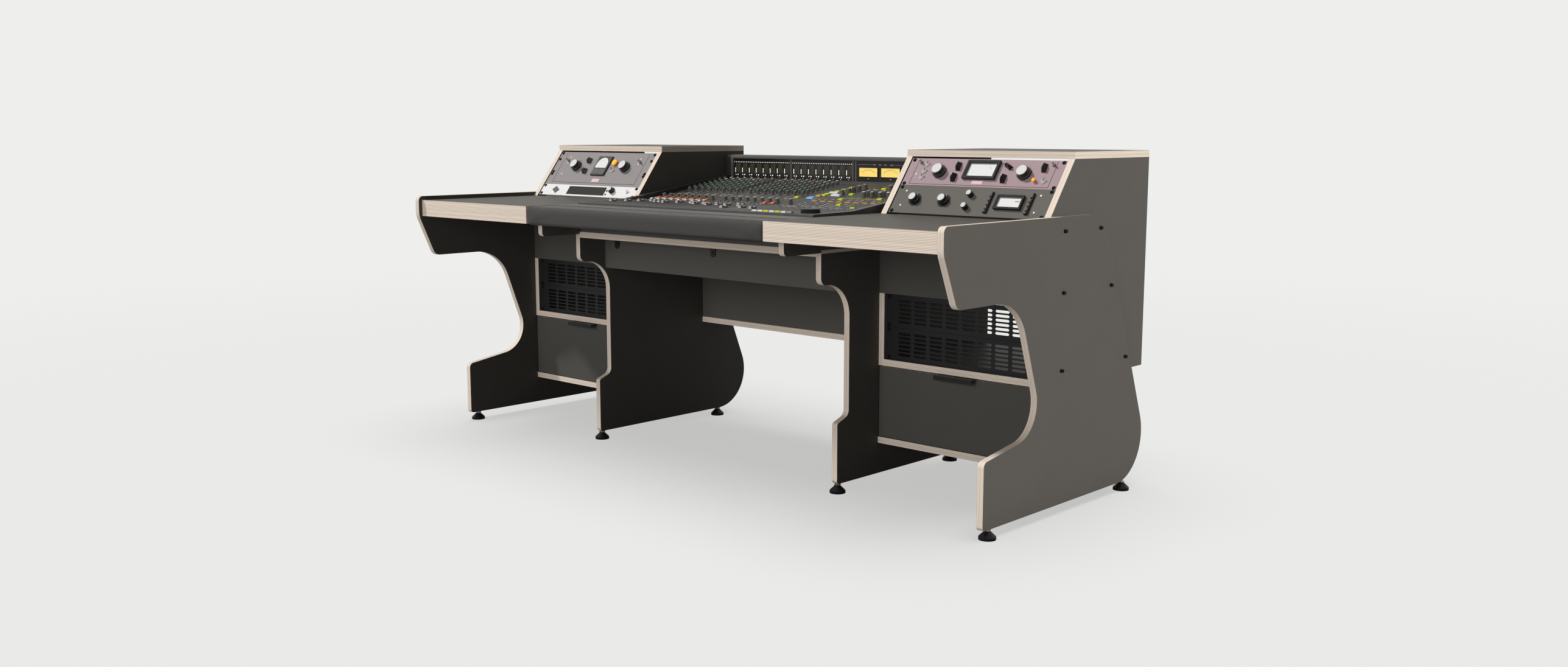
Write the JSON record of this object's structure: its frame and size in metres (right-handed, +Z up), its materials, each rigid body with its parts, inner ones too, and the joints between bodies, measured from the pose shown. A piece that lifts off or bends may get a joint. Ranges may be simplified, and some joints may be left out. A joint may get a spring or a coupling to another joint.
{
  "type": "studio desk",
  "caption": "Ply studio desk with S-shaped legs, leaning rack pods, drawer cabinets, padded armrest and a built-in mixing console.",
  "frame": {"origin": "on the floor, under the centre of the desk's overall box", "axes": "+Z up, +X to the sitter's right along the desk, +Y from the armrest to the desk's back"},
  "size_m": [2.095, 0.9416, 0.908],
  "materials": {
    "laminate": "dark warm-grey laminate on birch ply",
    "dark_laminate": "dark warm-grey laminate on birch ply",
    "worktop": "matt warm-grey laminate with bare layered ply edges",
    "armrest_leather": "dark padded leather",
    "black_steel": "black powder coat",
    "black_plastic": "matt black plastic",
    "console_paint": "fine-textured grey paint",
    "maroon_paint": "satin maroon paint",
    "grey_paint": "satin grey paint",
    "white_paint": "satin white paint",
    "knob_alloy": "turned aluminium cap on a black skirt"
  },
  "bodies": {
    "desk": {"outer_leg_right": "laminate", "outer_leg_left": "laminate", "inner_leg_right": "laminate", "inner_leg_left": "laminate", "wing_worktop_right": "worktop", "wing_worktop_left": "worktop", "centre_worktop": "worktop", "armrest": "armrest_leather", "bearer_right": "laminate", "bearer_left": "laminate", "deck_board": "laminate", "modesty_panel": "laminate", "trough_board": "laminate", "trough_panel": "laminate", "cabinet_fascia_right": "dark_laminate", "cabinet_fascia_left": "dark_laminate", "cabinet_inner_side_right": "laminate", "cabinet_inner_side_left": "laminate", "cabinet_outer_side_right": "laminate", "cabinet_outer_side_left": "laminate", "cabinet_shelf_right": "laminate", "cabinet_shelf_left": "laminate", "cabinet_base_right": "laminate", "cabinet_base_left": "laminate", "pod_top_right": "laminate", "pod_top_left": "laminate", "vent_panel_lower_right": "black_steel", "vent_panel_upper_right": "black_steel", "vent_panel_lower_left": "black_steel", "vent_panel_upper_left": "black_steel", "rack_frame_right": "black_steel", "rack_frame_left": "black_steel", "rack_unit_maroon": "maroon_paint", "rack_unit_black": "black_steel", "rack_unit_grey": "grey_paint", "rack_unit_white": "white_paint", "console_body": "console_paint", "meter_bridge": "console_paint"},
    "drawer_right": {"drawer_front_right": "dark_laminate", "drawer_box_right": "laminate", "drawer_pull_right": "black_steel"},
    "drawer_left": {"drawer_front_left": "dark_laminate", "drawer_box_left": "laminate", "drawer_pull_left": "black_steel"},
    "foot_outer_front_right": {"foot_outer_front_right": "black_plastic"},
    "foot_outer_rear_right": {"foot_outer_rear_right": "black_plastic"},
    "foot_inner_front_right": {"foot_inner_front_right": "black_plastic"},
    "foot_inner_rear_right": {"foot_inner_rear_right": "black_plastic"},
    "foot_outer_front_left": {"foot_outer_front_left": "black_plastic"},
    "foot_outer_rear_left": {"foot_outer_rear_left": "black_plastic"},
    "foot_inner_front_left": {"foot_inner_front_left": "black_plastic"},
    "foot_inner_rear_left": {"foot_inner_rear_left": "black_plastic"},
    "gain_knob_maroon": {"gain_knob_maroon": "knob_alloy"},
    "reduction_knob_maroon": {"reduction_knob_maroon": "knob_alloy"},
    "input_knob_black": {"input_knob_black": "knob_alloy"},
    "output_knob_black": {"output_knob_black": "knob_alloy"},
    "gain_knob_grey": {"gain_knob_grey": "knob_alloy"},
    "reduction_knob_grey": {"reduction_knob_grey": "knob_alloy"},
    "menu_knob_white": {"menu_knob_white": "knob_alloy"},
    "monitor_wheel": {"monitor_wheel": "black_plastic"}
  },
  "joints": [
    {"name": "drawer_slide_right", "type": "slide", "parent": "desk", "child": "drawer_right", "axis": [0, -1, 0], "range_m": [0, 0.3]},
    {"name": "drawer_slide_left", "type": "slide", "parent": "desk", "child": "drawer_left", "axis": [0, -1, 0], "range_m": [0, 0.3]},
    {"name": "foot_turn_outer_front_right", "type": "hinge", "parent": "desk", "child": "foot_outer_front_right", "pos_m": [1.026, -0.26465, 0.03], "axis": [0, 0, 1], "continuous": true},
    {"name": "foot_turn_outer_rear_right", "type": "hinge", "parent": "desk", "child": "foot_outer_rear_right", "pos_m": [1.026, 0.36655, 0.03], "axis": [0, 0, 1], "continuous": true},
    {"name": "foot_turn_inner_front_right", "type": "hinge", "parent": "desk", "child": "foot_inner_front_right", "pos_m": [0.486, -0.17875, 0.03], "axis": [0, 0, 1], "continuous": true},
    {"name": "foot_turn_inner_rear_right", "type": "hinge", "parent": "desk", "child": "foot_inner_rear_right", "pos_m": [0.486, 0.32875, 0.03], "axis": [0, 0, 1], "continuous": true},
    {"name": "foot_turn_outer_front_left", "type": "hinge", "parent": "desk", "child": "foot_outer_front_left", "pos_m": [-1.026, -0.26465, 0.03], "axis": [0, 0, 1], "continuous": true},
    {"name": "foot_turn_outer_rear_left", "type": "hinge", "parent": "desk", "child": "foot_outer_rear_left", "pos_m": [-1.026, 0.36655, 0.03], "axis": [0, 0, 1], "continuous": true},
    {"name": "foot_turn_inner_front_left", "type": "hinge", "parent": "desk", "child": "foot_inner_front_left", "pos_m": [-0.486, -0.17875, 0.03], "axis": [0, 0, 1], "continuous": true},
    {"name": "foot_turn_inner_rear_left", "type": "hinge", "parent": "desk", "child": "foot_inner_rear_left", "pos_m": [-0.486, 0.32875, 0.03], "axis": [0, 0, 1], "continuous": true},
    {"name": "knob_turn_gain_maroon", "type": "hinge", "parent": "desk", "child": "gain_knob_maroon", "pos_m": [0.624, 0.06926, 0.85028], "axis": [0, -0.7986, 0.6018], "range_deg": [-150, 150]},
    {"name": "knob_turn_reduction_maroon", "type": "hinge", "parent": "desk", "child": "reduction_knob_maroon", "pos_m": [0.888, 0.06926, 0.85028], "axis": [0, -0.7986, 0.6018], "range_deg": [-150, 150]},
    {"name": "knob_turn_input_black", "type": "hinge", "parent": "desk", "child": "input_knob_black", "pos_m": [0.584, 0.0151, 0.77841], "axis": [0, -0.7986, 0.6018], "range_deg": [-150, 150]},
    {"name": "knob_turn_output_black", "type": "hinge", "parent": "desk", "child": "output_knob_black", "pos_m": [0.678, 0.0151, 0.77841], "axis": [0, -0.7986, 0.6018], "range_deg": [-150, 150]},
    {"name": "knob_turn_gain_grey", "type": "hinge", "parent": "desk", "child": "gain_knob_grey", "pos_m": [-0.8795, 0.06023, 0.8383], "axis": [0, -0.7986, 0.6018], "range_deg": [-150, 150]},
    {"name": "knob_turn_reduction_grey", "type": "hinge", "parent": "desk", "child": "reduction_knob_grey", "pos_m": [-0.6325, 0.06023, 0.8383], "axis": [0, -0.7986, 0.6018], "range_deg": [-150, 150]},
    {"name": "knob_turn_menu_white", "type": "hinge", "parent": "desk", "child": "menu_knob_white", "pos_m": [-0.634, 0.00429, 0.76407], "axis": [0, -0.7986, 0.6018], "continuous": true},
    {"name": "wheel_turn", "type": "hinge", "parent": "desk", "child": "monitor_wheel", "pos_m": [0.418, -0.21525, 0.7458], "axis": [0, 0, 1], "continuous": true}
  ]
}
